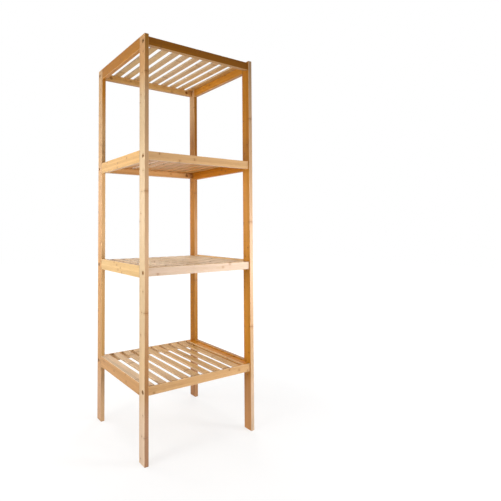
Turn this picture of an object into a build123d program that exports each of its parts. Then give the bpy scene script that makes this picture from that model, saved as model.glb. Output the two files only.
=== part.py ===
from build123d import *
import os

# A free-standing slatted bamboo rack. Two glued side frames carry bolted shelf panels.
# X runs left to right, Y front to back, Z up. The origin is on the floor, under the middle.

# Whole rack
overall_width = 360.0  # outside the legs, along X
overall_depth = 330.0  # outside the legs, along Y
overall_height = 1100.0
tier_count = 4
floor_clearance = 168.0  # floor to the underside of the lowest side rails

# Side frames: legs and side rails are planed to one thickness
frame_thickness = 12.0
leg_width = 31.0
side_rail_height = 32.0
board_edge_round = 1.0

# Shelf rails, with a rabbet along the top inner edge that takes the slat ends
shelf_rail_height = 22.5
shelf_rail_thickness = 12.0
shelf_rail_setback = 4.0  # behind the legs' front or back faces
lip_thickness = 4.0
rail_edge_round = 0.8

# Slats
slat_count = 10
slat_width = 19.5
slat_thickness = 5.0
slat_proud = 0.8  # slat tops above the rail lips
slat_side_clearance = 1.5  # end slats to the side rails
slat_end_clearance = 0.2  # slat ends to the lips
slat_edge_round = 0.8

# Bolts through the legs into the ends of the shelf rails
bolt_diameter = 6.0
bolt_head_diameter = 10.0
bolt_head_height = 6.0
bolt_head_round = 0.6
bolt_head_recess = 0.5  # head below the leg's outer face
bolt_past_nut = 5.5
bolt_drop = 1.8  # bolt axis below the middle of the shelf rail
bolt_hole_clearance = 0.5
bolt_head_clearance = 1.0
bolt_end_clearance = 1.5
hex_key_size = 5.0
hex_key_depth = 3.0

# Barrel nuts, slipped in from the inner faces of the shelf rails
nut_diameter = 10.0
nut_inset = 24.0  # end of the shelf rail to the nut's axis
nut_cover = 1.0  # wood in front of the nut, and its depth under the inner face
nut_clearance = 0.2
nut_thread_clearance = 0.1
nut_edge_chamfer = 0.5
nut_slot_width = 1.4
nut_slot_depth = 1.0

# Glued dowels between the side rails and the legs
dowel_diameter = 6.0
dowel_in_leg = 12.0
dowel_in_rail = 18.0
dowel_edge_distance = 8.0  # dowel axis to the side rail's upper or lower edge
dowel_clearance = 0.1
dowel_end_clearance = 0.5
dowel_chamfer = 0.8

# Pins that hold the slat ends down on the rail ledges
pin_diameter = 1.2
pin_length = 9.0
pin_head_diameter = 2.2
pin_head_height = 0.6
pin_sunk = 0.2  # head below the slat's top face
pin_clearance = 0.1
pin_tip_clearance = 0.3

# Planes of the side frames
half_width = overall_width / 2
half_depth = overall_depth / 2
inner_x = half_width - frame_thickness
frame_middle_x = half_width - frame_thickness / 2
leg_inner_y = half_depth - leg_width

# Planes of the shelf rails, measured outwards from the rack's middle
rail_outer_y = half_depth - shelf_rail_setback
rail_inner_y = rail_outer_y - shelf_rail_thickness
rail_middle_y = rail_outer_y - shelf_rail_thickness / 2
lip_inner_y = rail_outer_y - lip_thickness
ledge_middle_y = (lip_inner_y + rail_inner_y) / 2
rabbet_depth = slat_thickness - slat_proud

# Heights
tier_pitch = (overall_height - side_rail_height - floor_clearance) / (tier_count - 1)
shelf_rail_rise = (side_rail_height - shelf_rail_height) / 2

# Slat layout
slat_reach = lip_inner_y - slat_end_clearance
slat_field = 2 * (inner_x - slat_side_clearance)
slat_pitch = (slat_field - slat_width) / (slat_count - 1)

# Fastener seats
counterbore_depth = bolt_head_height + bolt_head_recess
bolt_seat_x = half_width - counterbore_depth
nut_x = inner_x - nut_inset
bolt_tip_x = nut_x - nut_diameter / 2 - bolt_past_nut
bolt_length = bolt_seat_x - bolt_tip_x
nut_length = shelf_rail_thickness - 2 * nut_cover
pin_shank_length = pin_length - pin_head_height

tiers = range(tier_count)
sides = {"left": -1, "right": 1}
ends = {"front": -1, "back": 1}


def side_rail_bottom(tier):
    return floor_clearance + tier * tier_pitch


def shelf_rail_bottom(tier):
    return side_rail_bottom(tier) + shelf_rail_rise


def ledge_height(tier):
    return shelf_rail_bottom(tier) + shelf_rail_height - rabbet_depth


def slat_top(tier):
    return ledge_height(tier) + slat_thickness


def bolt_height(tier):
    return shelf_rail_bottom(tier) + shelf_rail_height / 2 - bolt_drop


def dowel_heights(tier):
    low = side_rail_bottom(tier)
    return [low + dowel_edge_distance, low + side_rail_height - dowel_edge_distance]


def slat_centres():
    first = -(slat_count - 1) * slat_pitch / 2
    return [first + i * slat_pitch for i in range(slat_count)]


def block(corner, opposite):
    size = [abs(b - a) for a, b in zip(corner, opposite)]
    middle = [(a + b) / 2 for a, b in zip(corner, opposite)]
    return Pos(*middle) * Box(*size)


def rod(start, direction, diameter, length):
    seat = Plane(origin=start, z_dir=direction)
    return seat * Cylinder(diameter / 2, length, align=(Align.CENTER, Align.CENTER, Align.MIN))


def leg(side, end):
    foot = (side * half_width, end * half_depth, 0)
    head = (side * inner_x, end * leg_inner_y, overall_height)
    board = block(foot, head)
    board = fillet(board.edges(), board_edge_round)
    cuts = []
    inwards = (-side, 0, 0)
    for tier in tiers:
        face = (side * half_width, end * rail_middle_y, bolt_height(tier))
        cuts.append(rod(face, inwards, bolt_diameter + bolt_hole_clearance, frame_thickness))
        cuts.append(rod(face, inwards, bolt_head_diameter + bolt_head_clearance, counterbore_depth))
        for height in dowel_heights(tier):
            mouth = (side * frame_middle_x, end * leg_inner_y, height)
            depth = dowel_in_leg + dowel_end_clearance
            cuts.append(rod(mouth, (0, end, 0), dowel_diameter + dowel_clearance, depth))
    return board - cuts


def side_rail(side, tier):
    low = side_rail_bottom(tier)
    top = low + side_rail_height
    board = block((side * half_width, -leg_inner_y, low), (side * inner_x, leg_inner_y, top))
    board = fillet(board.edges().filter_by(Axis.Y), board_edge_round)
    cuts = []
    for end in ends.values():
        for height in dowel_heights(tier):
            mouth = (side * frame_middle_x, end * leg_inner_y, height)
            depth = dowel_in_rail + dowel_end_clearance
            cuts.append(rod(mouth, (0, -end, 0), dowel_diameter + dowel_clearance, depth))
    return board - cuts


def shelf_rail(end, tier):
    low = shelf_rail_bottom(tier)
    top = low + shelf_rail_height
    ledge = ledge_height(tier)
    board = block((-inner_x, end * rail_outer_y, low), (inner_x, end * rail_inner_y, top))
    rabbet = block((-inner_x, end * lip_inner_y, ledge), (inner_x, end * rail_inner_y, top))
    board = board - rabbet
    # every long edge is eased except the inside corner of the rabbet
    corner = Vector(0, end * lip_inner_y, ledge)
    long_edges = board.edges().filter_by(Axis.X)
    inside_edge = long_edges.sort_by(lambda edge: (edge.center() - corner).length)[0]
    board = fillet([edge for edge in long_edges if edge != inside_edge], rail_edge_round)
    cuts = []
    for side in sides.values():
        mouth = (side * inner_x, end * rail_middle_y, bolt_height(tier))
        depth = inner_x - bolt_tip_x + bolt_end_clearance
        cuts.append(rod(mouth, (-side, 0, 0), bolt_diameter + bolt_hole_clearance, depth))
        pocket = (side * nut_x, end * rail_inner_y, bolt_height(tier))
        depth = shelf_rail_thickness - nut_cover
        cuts.append(rod(pocket, (0, end, 0), nut_diameter + nut_clearance, depth))
    for x in slat_centres():
        mouth = (x, end * ledge_middle_y, ledge)
        depth = pin_length + pin_sunk - slat_thickness + pin_tip_clearance
        cuts.append(rod(mouth, (0, 0, -1), pin_diameter + pin_clearance, depth))
    return board - cuts


def slat(x, tier):
    low = (x - slat_width / 2, -slat_reach, ledge_height(tier))
    high = (x + slat_width / 2, slat_reach, slat_top(tier))
    strip = block(low, high)
    strip = fillet(strip.edges(), slat_edge_round)
    cuts = []
    for end in ends.values():
        face = (x, end * ledge_middle_y, slat_top(tier))
        cuts.append(rod(face, (0, 0, -1), pin_diameter + pin_clearance, slat_thickness))
        cuts.append(rod(face, (0, 0, -1), pin_head_diameter + pin_clearance, pin_sunk + pin_head_height))
    return strip - cuts


def bolt(side, end, tier):
    seat = (side * bolt_seat_x, end * rail_middle_y, bolt_height(tier))
    head = rod(seat, (side, 0, 0), bolt_head_diameter, bolt_head_height)
    rim = head.edges().sort_by(Axis.X)[-1 if side > 0 else 0]
    head = fillet(rim, bolt_head_round)
    shank = rod(seat, (-side, 0, 0), bolt_diameter, bolt_length)
    top = (seat[0] + side * bolt_head_height, seat[1], seat[2])
    hexagon = RegularPolygon(hex_key_size / 2, 6, major_radius=False)
    socket = extrude(Plane(origin=top, z_dir=(-side, 0, 0)) * hexagon, hex_key_depth)
    return head + shank - socket


def barrel_nut(side, end, tier):
    face = (side * nut_x, end * (rail_inner_y + nut_cover), bolt_height(tier))
    barrel = rod(face, (0, end, 0), nut_diameter, nut_length)
    barrel = chamfer(barrel.edges().filter_by(GeomType.CIRCLE), nut_edge_chamfer)
    thread = (side * (nut_x + nut_diameter), end * rail_middle_y, bolt_height(tier))
    bore = rod(thread, (-side, 0, 0), bolt_diameter + nut_thread_clearance, 2 * nut_diameter)
    # the slot shows which way the threaded hole points
    slot = Pos(*face) * Box(nut_diameter, 2 * nut_slot_depth, nut_slot_width)
    return barrel - bore - slot


def dowel(side, end, height):
    start = (side * frame_middle_x, end * (leg_inner_y + dowel_in_leg), height)
    peg = rod(start, (0, -end, 0), dowel_diameter, dowel_in_leg + dowel_in_rail)
    return chamfer(peg.edges().filter_by(GeomType.CIRCLE), dowel_chamfer)


def pin(x, end, tier):
    top = (x, end * ledge_middle_y, slat_top(tier) - pin_sunk)
    shoulder = (top[0], top[1], top[2] - pin_head_height)
    head = rod(top, (0, 0, -1), pin_head_diameter, pin_head_height)
    return head + rod(shoulder, (0, 0, -1), pin_diameter, pin_shank_length)


def save(name, shape):
    export_step(shape, os.path.join("parts", name + ".step"))


os.makedirs("parts", exist_ok=True)

for side_name, side in sides.items():
    for end_name, end in ends.items():
        save(f"leg_{end_name}_{side_name}", leg(side, end))

for tier in tiers:
    for side_name, side in sides.items():
        save(f"side_rail_{side_name}_tier_{tier + 1}", side_rail(side, tier))
    for end_name, end in ends.items():
        save(f"shelf_rail_{end_name}_tier_{tier + 1}", shelf_rail(end, tier))
    save(f"slats_tier_{tier + 1}", Compound(children=[slat(x, tier) for x in slat_centres()]))

corners = [(side, end) for side in sides.values() for end in ends.values()]
joints = [(side, end, tier) for side, end in corners for tier in tiers]
save("frame_bolts", Compound(children=[bolt(*joint) for joint in joints]))
save("barrel_nuts", Compound(children=[barrel_nut(*joint) for joint in joints]))
pegs = [dowel(side, end, height) for side, end, tier in joints for height in dowel_heights(tier)]
save("side_rail_dowels", Compound(children=pegs))
pins = [pin(x, end, tier) for tier in tiers for end in ends.values() for x in slat_centres()]
save("slat_pins", Compound(children=pins))

print("tier pitch", round(tier_pitch, 2), "slat gap", round(slat_pitch - slat_width, 2))
print("bolt length", round(bolt_length, 2))
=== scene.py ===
import math
import bpy
from mathutils import Matrix, Vector


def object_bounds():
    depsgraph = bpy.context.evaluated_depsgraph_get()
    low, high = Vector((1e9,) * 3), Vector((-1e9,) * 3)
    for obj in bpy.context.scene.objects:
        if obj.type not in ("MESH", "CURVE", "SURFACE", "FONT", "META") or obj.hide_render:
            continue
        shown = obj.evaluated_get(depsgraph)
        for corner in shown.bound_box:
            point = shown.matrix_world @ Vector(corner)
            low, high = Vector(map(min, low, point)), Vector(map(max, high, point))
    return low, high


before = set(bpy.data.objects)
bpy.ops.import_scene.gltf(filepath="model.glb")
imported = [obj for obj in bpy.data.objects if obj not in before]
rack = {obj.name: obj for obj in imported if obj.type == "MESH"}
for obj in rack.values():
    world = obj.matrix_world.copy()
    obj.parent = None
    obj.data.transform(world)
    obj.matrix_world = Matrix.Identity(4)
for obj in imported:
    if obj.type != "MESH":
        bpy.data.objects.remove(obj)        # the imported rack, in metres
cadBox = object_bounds()
print("rack loaded,", len(rack), "nodes")


# Shader wiring: arithmetic on a Wire adds Math nodes, any other node comes from add
class Wire:
    def __init__(self, tree, socket=None):
        self.tree = tree
        self.socket = socket

    def add(self, kind, settings=None, inputs=None, out=0):
        node = self.tree.nodes.new("ShaderNode" + kind)
        for name, value in (settings or {}).items():
            if name == "stops":
                self.fillRamp(node.color_ramp, value)
            else:
                setattr(node, name, value)
        for key, value in (inputs or {}).items():
            if isinstance(value, Wire):
                self.tree.links.new(value.socket, node.inputs[key])
            else:
                node.inputs[key].default_value = value
        return Wire(self.tree, node.outputs[out])

    def fillRamp(self, ramp, stops):
        while len(ramp.elements) < len(stops):
            ramp.elements.new(1.0)
        for element, (place, colour) in zip(ramp.elements, stops):
            element.position = place
            element.color = colour

    def calc(self, operation, *values):
        return self.add("Math", {"operation": operation}, dict(enumerate(values)))

    def vector(self, operation, *values, out=0):
        return self.add("VectorMath", {"operation": operation}, dict(enumerate(values)), out)

    def mix(self, factor, a, b, blend="MIX"):
        settings = {"data_type": "RGBA", "blend_type": blend}
        return self.add("Mix", settings, {0: factor, 6: a, 7: b}, out=2)

    def ease(self, low, high, start=0.0, end=1.0):      # smooth step from start to end
        settings = {"interpolation_type": "SMOOTHSTEP"}
        return self.add("MapRange", settings, {0: self, 1: low, 2: high, 3: start, 4: end})

    def parts(self):
        node = self.add("SeparateXYZ", None, {0: self}).socket.node
        return [Wire(self.tree, output) for output in node.outputs]

    def floor(self):
        return self.calc("FLOOR", self)

    def fraction(self):
        return self.calc("FRACT", self)

    def __add__(self, other):
        return self.calc("ADD", self, other)

    def __radd__(self, other):
        return self.calc("ADD", other, self)

    def __sub__(self, other):
        return self.calc("SUBTRACT", self, other)

    def __rsub__(self, other):
        return self.calc("SUBTRACT", other, self)

    def __mul__(self, other):
        return self.calc("MULTIPLY", self, other)

    def __rmul__(self, other):
        return self.calc("MULTIPLY", other, self)

    def __truediv__(self, other):
        return self.calc("DIVIDE", self, other)

    def __rtruediv__(self, other):
        return self.calc("DIVIDE", other, self)

    def __abs__(self):
        return self.calc("ABSOLUTE", self)


white = (1.0, 1.0, 1.0, 1.0)


def srgb(red, green, blue):      # a colour as a picture shows it, 0 to 255, made linear
    def linear(level):
        share = level / 255
        return share / 12.92 if share <= 0.04045 else ((share + 0.055) / 1.055) ** 2.4
    return (linear(red), linear(green), linear(blue), 1.0)


def newMaterial(name):
    material = bpy.data.materials.new(name)
    material.use_nodes = True
    material.node_tree.nodes.clear()
    return material, Wire(material.node_tree)


def finishMaterial(material, shader):
    output = material.node_tree.nodes.new("ShaderNodeOutputMaterial")
    material.node_tree.links.new(shader.socket, output.inputs["Surface"])
    return material


def dress(node, material):
    mesh = rack[node].data
    mesh.materials.clear()
    mesh.materials.append(material)


# Laminated bamboo under satin lacquer. Lengths are in metres, noise in waves per metre along and
# across the grain, and a pair is where a mark starts and where it is complete.
bambooLook = {
    "tones": {                           # lightest strips of a board
        "ivory": srgb(252, 230, 198),
        "cream": srgb(245, 214, 176),
        "pale": srgb(234, 204, 172),
        "peach": srgb(246, 208, 154),
        "straw": srgb(222, 187, 143),
        "corn": srgb(220, 184, 128),
        "wheat": srgb(212, 171, 124),
        "flax": srgb(213, 185, 146),
        "hazel": srgb(208, 174, 136),
        "oat": srgb(196, 172, 151),
        "honey": srgb(219, 174, 110),
        "amber": srgb(206, 156, 100),
        "apricot": srgb(219, 145, 44),
        "caramel": srgb(214, 148, 54),
        "ginger": srgb(210, 134, 29),
        "nutmeg": srgb(197, 131, 42),
        "cinnamon": srgb(168, 116, 64),
        "toffee": srgb(185, 126, 34),
        "russet": srgb(181, 117, 14),
        "chestnut": srgb(161, 101, 18),
    },
    "darkStrip": (0.74, 0.68, 0.58, 1.0),      # darkest strips, against the lightest
    "rounding": 0.001,                   # share of a strip, so that the first face isn't in strip -1
    "drift": {"along": 6.0, "across": 40.0, "detail": 2.0},
    "fibre": {"along": 10.0, "across": 900.0, "detail": 3.0},
    "shade": {"strip": 0.5, "drift": 0.9, "fibre": 0.4, "base": 0.25},
    "edge": (0.4, 0.7),                  # how far a face is turned to count as an edge
    # legs paler towards the floor: a painted reflection of the pale floor
    "foot": {"heights": (0.1, 0.2), "share": 0.16, "colour": srgb(250, 220, 208)},      # paler legs
    "fleckNoise": {"along": 45.0, "across": 1700.0, "detail": 1.0},
    "fleck": {"levels": (0.60, 0.74), "share": 0.4, "colour": srgb(150, 96, 40)},
    "knuckle": {"spacing": 0.31, "scatter": 7.0, "waver": 0.0016, "colour": srgb(112, 66, 24)},
    "ring": {"reach": (0.0003, 0.0013), "share": 0.7},
    "halo": {"reach": (0.001, 0.009), "share": 0.3},
    "glue": {"width": 0.00022, "share": 0.35, "colour": srgb(140, 88, 38)},
    "worn": {"reach": (0.0003, 0.0015), "patches": (0.3, 0.6), "share": 0.3,
             "colour": srgb(246, 220, 180)},
    "cut": (0.55, 0.9),                  # how far a face is turned to show end grain
    "pores": {"scale": 1100.0, "levels": (0.15, 0.45), "colour": srgb(160, 108, 52)},
    "roughness": {"base": 0.38, "fibre": 0.16, "cut": 0.2, "worn": 0.06},
    "height": {"fibre": 0.3, "ring": 0.5, "seam": 0.5, "fleck": 0.3},
    "bump": {"Strength": 0.25, "Distance": 0.0002},
    "specular": 0.12,
}

# Boards: grain, the way their strips lie side by side, strips in a board, and the tones of each board,
# first its wide faces, then its edges. A leg's tone may change on the way up, at heights in metres.
# The tones are partly the bamboo's own colour and partly painted light and shade: a leg's wide faces
# and its edges differ as painted lit and shaded sides, the pale tones carry a painted sheen, and the
# darker tones high on the legs and on the top tier are painted shade.
boards = [
    {"grain": "Z", "across": "Y", "strips": 5, "tones": {
        "leg_front_left": ({0.0: "pale", 0.25: "straw", 0.35: "flax", 0.93: "flax", 1.02: "amber"},
                           {0.1: "cinnamon", 0.5: "hazel", 0.94: "hazel", 1.0: "amber", 1.1: "toffee"}),
        "leg_front_right": ({0.78: "caramel", 0.84: "nutmeg"}, {0.0: "ivory", 0.3: "pale"}),
        "leg_back_left": ({0.6: "amber", 0.9: "wheat"},
                          {0.45: "corn", 0.7: "peach", 0.9: "peach", 1.02: "caramel"}),
        "leg_back_right": ({0.3: "russet", 0.66: "nutmeg", 0.78: "nutmeg", 0.9: "cinnamon", 1.03: "wheat"},
                           {0.33: "toffee", 0.6: "amber", 0.9: "chestnut", 1.06: "toffee"})}},
    {"grain": "Y", "across": "Z", "strips": 5, "tones": {
        "side_rail_left_tier_1": ("amber", "ivory"), "side_rail_left_tier_2": ("corn", "straw"),
        "side_rail_left_tier_3": ("honey", "peach"), "side_rail_left_tier_4": ("russet", "caramel"),
        "side_rail_right_tier_1": ("caramel", "amber"), "side_rail_right_tier_2": ("peach", "honey"),
        "side_rail_right_tier_3": ("ginger", "ginger"), "side_rail_right_tier_4": ("caramel", "amber")}},
    {"grain": "X", "across": "Z", "strips": 3, "tones": {
        "shelf_rail_front_tier_1": ("wheat", "straw"), "shelf_rail_front_tier_2": ("oat", "straw"),
        "shelf_rail_front_tier_3": ("wheat", "straw"), "shelf_rail_front_tier_4": ("chestnut", "honey"),
        "shelf_rail_back_tier_1": ("straw", "straw"), "shelf_rail_back_tier_2": ("amber", "amber"),
        "shelf_rail_back_tier_3": ("amber", "amber"), "shelf_rail_back_tier_4": ("honey", "amber")}},
]
# Slats: each is one strip, with tones for its flat faces and its sides. Where a tone changes across a
# shelf, it does so at slats counted from the left. The change from paler slats on the left to amber
# ones on the right is partly painted light from the left and painted shade on the right, and the
# pale sides are partly a painted highlight where the lamps on the left light them.
slats = {
    "grain": "Y", "across": "X", "count": 10, "width": 0.0195, "tones": {
        "slats_tier_1": ({1: "cream", 6: "honey", 9: "honey", 10: "apricot"},
                         {2: "ivory", 4: "cream", 9: "cream", 10: "peach"}),
        "slats_tier_2": ("cream", "ivory"),
        "slats_tier_3": ({1: "amber", 10: "ginger"}, {4: "cream", 10: "honey"}),
        "slats_tier_4": ({2: "corn", 6: "straw", 10: "honey"}, "ivory")}}


def boxOf(node):
    corners = [Vector(corner) for corner in rack[node].bound_box]
    return [[pick(corner[axis] for corner in corners) for axis in range(3)] for pick in (min, max)]


def grainNoise(wire, place, grain, waves):      # noise drawn out along the grain
    stretch = tuple(waves["along"] if axis == grain else waves["across"] for axis in "XYZ")
    scaled = wire.vector("MULTIPLY", place, stretch)
    return wire.add("TexNoise", None, {"Vector": scaled, "Scale": 1.0, "Detail": waves["detail"]})


def edgeGap(wire, axes, board):      # distance to the nearest long edge of the board
    gaps = []
    for axis, low, high in zip("XYZ", *board["box"]):
        if axis == board["grain"]:
            continue
        place = axes[axis] - low
        if board["row"] and axis == board["across"]:
            place = (place / board["step"]).fraction() * board["step"]
            high = low + slats["width"]
        half = (high - low) / 2
        gaps.append(half - abs(place - half))
    return wire.calc("MAXIMUM", *gaps)


def toneAlong(wire, place, reach, tones):      # one tone, or a change from tone to tone along a reach
    named = bambooLook["tones"]
    if isinstance(tones, str):
        return named[tones]
    stops = [(stop / reach, named[toneAndPaintedLight]) for stop, toneAndPaintedLight in tones.items()]
    return wire.add("ValToRGB", {"stops": stops}, {0: place / reach})


def bamboo(name, board):
    look = bambooLook
    grain, across, step = board["grain"], board["across"], board["step"]
    material, wire = newMaterial(name)
    place = wire.add("TexCoord", out="Object")
    axes = dict(zip("XYZ", place.parts()))
    normal = dict(zip("XYZ", wire.add("NewGeometry", out="Normal").parts()))

    # number of the strip, and chances that are its own
    stripPlace = (axes[across] - board["box"][0]["XYZ".index(across)]) / step
    strip = (stripPlace + look["rounding"]).floor()
    key = wire.add("CombineXYZ", None, {0: strip, 1: board["seed"], 2: 0.5})
    chance = wire.add("TexWhiteNoise", {"noise_dimensions": "3D"}, {0: key}, out="Color").parts()
    shift = wire.add("CombineXYZ", None, {0: chance[2], 1: board["seed"], 2: chance[1]})
    moved = wire.vector("ADD", place, shift)

    # tone of the board, along a leg's height or from slat to slat; it is partly painted light and shade,
    # and the separate tones of wide faces and edges are painted lit and shaded sides
    along = (strip + 1, slats["count"]) if board["row"] else (axes["Z"], cadBox[1][2])
    faces, edges = [toneAlong(wire, *along, tones) for tones in board["tones"]]
    onEdge = abs(normal[across]).ease(*look["edge"])
    toneAndPaintedLight = wire.mix(onEdge, faces, edges)

    # each strip a little darker or lighter, drifting slowly along the grain
    drift = grainNoise(wire, moved, grain, look["drift"])
    fibre = grainNoise(wire, moved, grain, look["fibre"])
    weight = look["shade"]
    shade = chance[0] * weight["strip"] + (drift - 0.5) * weight["drift"]
    shade = shade + (fibre - 0.5) * weight["fibre"] + weight["base"]
    strips = wire.add("ValToRGB", {"stops": [(0.0, white), (1.0, look["darkStrip"])]}, {0: shade})
    colour = wire.mix(1.0, toneAndPaintedLight, strips, "MULTIPLY")

    # fibre flecks
    fleck = grainNoise(wire, moved, grain, look["fleckNoise"]).ease(*look["fleck"]["levels"])
    colour = wire.mix(fleck * look["fleck"]["share"], colour, look["fleck"]["colour"])

    # knuckles, at each strip's own heights
    knuckle = look["knuckle"]
    phase = (axes[grain] / knuckle["spacing"] + chance[1] * knuckle["scatter"]).fraction()
    offset = (phase - 0.5) * knuckle["spacing"] + (fibre - 0.5) * knuckle["waver"]
    ring = 1 - abs(offset).ease(*look["ring"]["reach"])
    halo = 1 - abs(offset).ease(*look["halo"]["reach"])
    colour = wire.mix(halo * look["halo"]["share"], colour, look["fleck"]["colour"])
    colour = wire.mix(ring * look["ring"]["share"], colour, knuckle["colour"])

    # glue lines between strips
    side = stripPlace.fraction()
    seam = 1 - wire.calc("MINIMUM", side, 1 - side).ease(0.0, look["glue"]["width"] / step)
    colour = wire.mix(seam * look["glue"]["share"], colour, look["glue"]["colour"])

    # sanded edges, a little paler
    nearEdge = 1 - edgeGap(wire, axes, board).ease(*look["worn"]["reach"])
    worn = nearEdge * drift.ease(*look["worn"]["patches"])
    colour = wire.mix(worn * look["worn"]["share"], colour, look["worn"]["colour"])

    # legs, paler towards the floor: a painted reflection of the pale floor on their lower ends
    if grain == "Z":
        foot = 1 - axes[grain].ease(*look["foot"]["heights"])
        colour = wire.mix(foot * look["foot"]["share"], colour, look["foot"]["colour"])

    # end grain
    cut = abs(normal[grain]).ease(*look["cut"])
    cells = wire.add("TexVoronoi", {"feature": "F1"}, {"Vector": place, "Scale": look["pores"]["scale"]})
    endColour = wire.mix(cells.ease(*look["pores"]["levels"]), knuckle["colour"], look["pores"]["colour"])
    colour = wire.mix(cut, colour, endColour)

    # lacquer, duller where it is cut or worn, over a slight relief
    weight = look["roughness"]
    roughness = weight["base"] + (fibre - 0.5) * weight["fibre"]
    roughness = roughness + cut * weight["cut"] + worn * weight["worn"]
    weight = look["height"]
    height = fibre * weight["fibre"] + ring * weight["ring"]
    height = height - seam * weight["seam"] - fleck * weight["fleck"]
    bump = wire.add("Bump", None, {**look["bump"], "Height": height})
    return finishMaterial(material, wire.add("BsdfPrincipled", None, {
        "Base Color": colour, "Roughness": roughness, "Normal": bump,
        "Specular IOR Level": look["specular"]}))


seed = 0
for family in boards + [slats]:
    row = family is slats
    for node, tones in family["tones"].items():
        box = boxOf(node)
        axis = "XYZ".index(family["across"])
        reach = box[1][axis] - box[0][axis]
        step = (reach - slats["width"]) / (slats["count"] - 1) if row else reach / family["strips"]
        seed += 1
        board = {**family, "tones": tones, "box": box, "step": step, "seed": seed, "row": row}
        dress(node, bamboo(node, board))
print("bamboo boards dressed")

# Dowels, turned from a paler wood
dowelLook = {
    "light": srgb(222, 192, 146),
    "dark": srgb(190, 152, 104),
    "fibre": {"along": 30.0, "across": 900.0, "detail": 3.0},
    "roughness": 0.6,
    "unevenness": 0.2,
    "bump": {"Strength": 0.3, "Distance": 0.0002},
}


def dowelWood():
    look = dowelLook
    material, wire = newMaterial("dowelWood")
    fibre = grainNoise(wire, wire.add("TexCoord", out="Object"), "Y", look["fibre"])
    colour = wire.mix(fibre, look["light"], look["dark"])
    roughness = look["roughness"] + (fibre - 0.5) * look["unevenness"]
    bump = wire.add("Bump", None, {**look["bump"], "Height": fibre})
    return finishMaterial(material, wire.add("BsdfPrincipled", None, {
        "Base Color": colour, "Roughness": roughness, "Normal": bump}))


dress("side_rail_dowels", dowelWood())
print("dowels dressed")

# Bronze-plated bolts and nuts, bright wire pins
metalLook = {
    "bronzePlate": {"dark": srgb(130, 92, 50), "light": srgb(180, 134, 80),
                    "roughness": 0.36, "scale": 900.0},
    "pinWire": {"dark": srgb(150, 140, 130), "light": srgb(196, 188, 178),
                "roughness": 0.3, "scale": 2500.0},
    "detail": 3.0,
    "levels": (0.3, 0.7),
    "unevenness": 0.25,
    "bump": {"Strength": 0.15, "Distance": 0.0001},
}


def metal(name):
    look = metalLook[name]
    material, wire = newMaterial(name)
    place = wire.add("TexCoord", out="Object")
    speckle = wire.add("TexNoise", None, {
        "Vector": place, "Scale": look["scale"], "Detail": metalLook["detail"]})
    colour = wire.mix(speckle.ease(*metalLook["levels"]), look["dark"], look["light"])
    roughness = look["roughness"] + (speckle - 0.5) * metalLook["unevenness"]
    bump = wire.add("Bump", None, {**metalLook["bump"], "Height": speckle})
    return finishMaterial(material, wire.add("BsdfPrincipled", None, {
        "Base Color": colour, "Roughness": roughness, "Metallic": 1.0, "Normal": bump}))


bronze = metal("bronzePlate")
dress("frame_bolts", bronze)
dress("barrel_nuts", bronze)
dress("slat_pins", metal("pinWire"))
print("fasteners dressed")

# Floor and surroundings
studio = {
    "floorSize": 12.0,
    "floorColour": (0.9, 0.9, 0.9, 1.0),
    "fade": (0.3, 0.9),          # distances from the middle over which the floor turns white
    "lift": (0.64, 1.0),         # share of white there
    "liftStrength": 1.09,
    "ambient": 0.28,
}


def seenDirectly(wire):      # 1 for rays from the camera, a reflection or clear glass
    path = wire.add("LightPath").socket.node
    seen = Wire(wire.tree, path.outputs["Is Camera Ray"])
    for name in ("Is Glossy Ray", "Is Transmission Ray"):
        seen = seen.calc("MAXIMUM", seen, Wire(wire.tree, path.outputs[name]))
    return seen


def makeFloor():
    bpy.ops.object.select_all(action="DESELECT")
    bpy.ops.mesh.primitive_plane_add(size=studio["floorSize"])
    floor = bpy.context.object
    floor.name = "floor"
    material, wire = newMaterial("paleFloor")
    place = wire.add("TexCoord", out="Object")
    radius = wire.vector("LENGTH", place, out="Value")
    lift = radius.ease(*studio["fade"], *studio["lift"]) * seenDirectly(wire)
    matt = wire.add("BsdfDiffuse", None, {"Color": studio["floorColour"]})
    glow = wire.add("Emission", None, {"Color": white, "Strength": studio["liftStrength"]})
    top = wire.add("MixShader", None, {0: lift, 1: matt, 2: glow})
    below = wire.add("NewGeometry", out="Backfacing")
    clear = wire.add("BsdfTransparent")      # seen from underneath
    floor.data.materials.append(
        finishMaterial(material, wire.add("MixShader", None, {0: below, 1: top, 2: clear})))


def makeWorld():
    world = bpy.data.worlds.new("studio")
    bpy.context.scene.world = world
    world.use_nodes = True
    world.node_tree.nodes.clear()
    wire = Wire(world.node_tree)
    fill = wire.add("Background", None, {"Color": white, "Strength": studio["ambient"]})
    backdrop = wire.add("Background", None, {"Color": white, "Strength": 1.0})
    shown = wire.add("MixShader", None, {0: seenDirectly(wire), 1: fill, 2: backdrop})
    output = world.node_tree.nodes.new("ShaderNodeOutputWorld")
    world.node_tree.links.new(shown.socket, output.inputs["Surface"])


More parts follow.
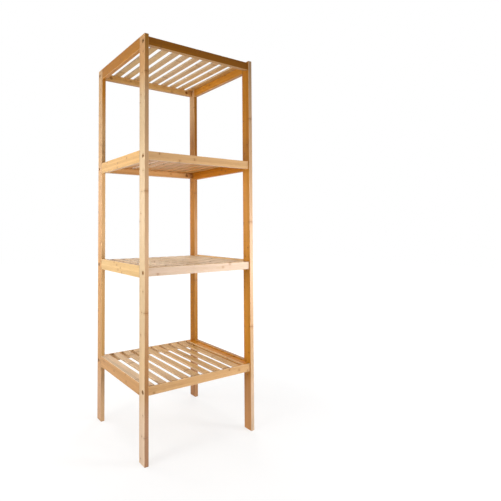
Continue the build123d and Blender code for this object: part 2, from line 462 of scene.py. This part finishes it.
# Soft square lamps, power in watts and spread in degrees
lamps = [
    {"name": "leftKey", "place": (-1.6, -0.3, 0.9), "aim": (0, 0, 0.6), "size": 0.6,
     "power": 10.3, "spread": 180},
    {"name": "leftMiddle", "place": (-1.3, 0.1, 0.6), "aim": (0, -0.05, 0.6), "size": 0.4,
     "power": 0.78, "spread": 60},
    {"name": "frontRight", "place": (0.8, -0.85, 0.46), "aim": (0.12, -0.15, 0.46), "size": 0.3,
     "power": 2.05, "spread": 80},
    {"name": "front", "place": (0.3, -1.3, 0.5), "aim": (0, -0.15, 0.5), "size": 0.3,
     "power": 0.95, "spread": 60},
    {"name": "above", "place": (-0.05, 0.15, 3.6), "aim": (0, 0.05, 0), "size": 1.6,
     "power": 43.8, "spread": 180},
    {"name": "backLeft", "place": (-0.95, 1.2, 0.72), "aim": (-0.18, -0.15, 0.6), "size": 0.5,
     "power": 4.3, "spread": 180},
    {"name": "backRight", "place": (1.1, 1.2, 1.9), "aim": (0, 0, 0.5), "size": 0.6,
     "power": 7.0, "spread": 180},
]


def makeLamps():
    for lamp in lamps:
        data = bpy.data.lights.new(lamp["name"], "AREA")
        data.size = lamp["size"]
        data.energy = lamp["power"]
        data.spread = math.radians(lamp["spread"])
        light = bpy.data.objects.new(lamp["name"], data)
        bpy.context.scene.collection.objects.link(light)
        light.location = lamp["place"]
        light.visible_camera = False
        towards = Vector(lamp["aim"]) - light.location
        light.rotation_euler = towards.to_track_quat("-Z", "Y").to_euler()


makeFloor()
makeWorld()
makeLamps()
print("studio lit")

# Camera, at the photograph's viewpoint
camera = {
    "place": (-0.6639, -1.1333, 0.6001),
    "yaw": 32.79,            # degrees right of +Y
    "pitch": 1.99,           # degrees above level
    "roll": -0.175,          # degrees
    "imageSize": 501,        # pixels
    "focalLength": 424.18,   # pixels
    "centre": (190.99, 211.78),      # pixel that the lens axis meets
    "sensorHeight": 36.0,    # millimetres
}


def makeCamera():
    data = bpy.data.cameras.new("camera")
    view = bpy.data.objects.new("camera", data)
    bpy.context.scene.collection.objects.link(view)
    yaw, pitch, roll = [math.radians(camera[name]) for name in ("yaw", "pitch", "roll")]
    ahead = Vector((math.cos(pitch) * math.sin(yaw), math.cos(pitch) * math.cos(yaw), math.sin(pitch)))
    right = Vector((math.cos(yaw), -math.sin(yaw), 0))
    up = right.cross(ahead)
    across = right * math.cos(roll) + up * math.sin(roll)
    upright = up * math.cos(roll) - right * math.sin(roll)
    turn = Matrix((across, upright, -ahead)).transposed()
    view.matrix_world = Matrix.Translation(camera["place"]) @ turn.to_4x4()
    size = camera["imageSize"]
    data.sensor_fit = "VERTICAL"
    data.sensor_height = camera["sensorHeight"]
    data.lens = camera["focalLength"] * camera["sensorHeight"] / size
    data.shift_x = 0.5 - camera["centre"][0] / size
    data.shift_y = camera["centre"][1] / size - 0.5
    bpy.context.scene.camera = view


makeCamera()
bpy.context.scene.view_settings.view_transform = "Standard"
print("camera set")
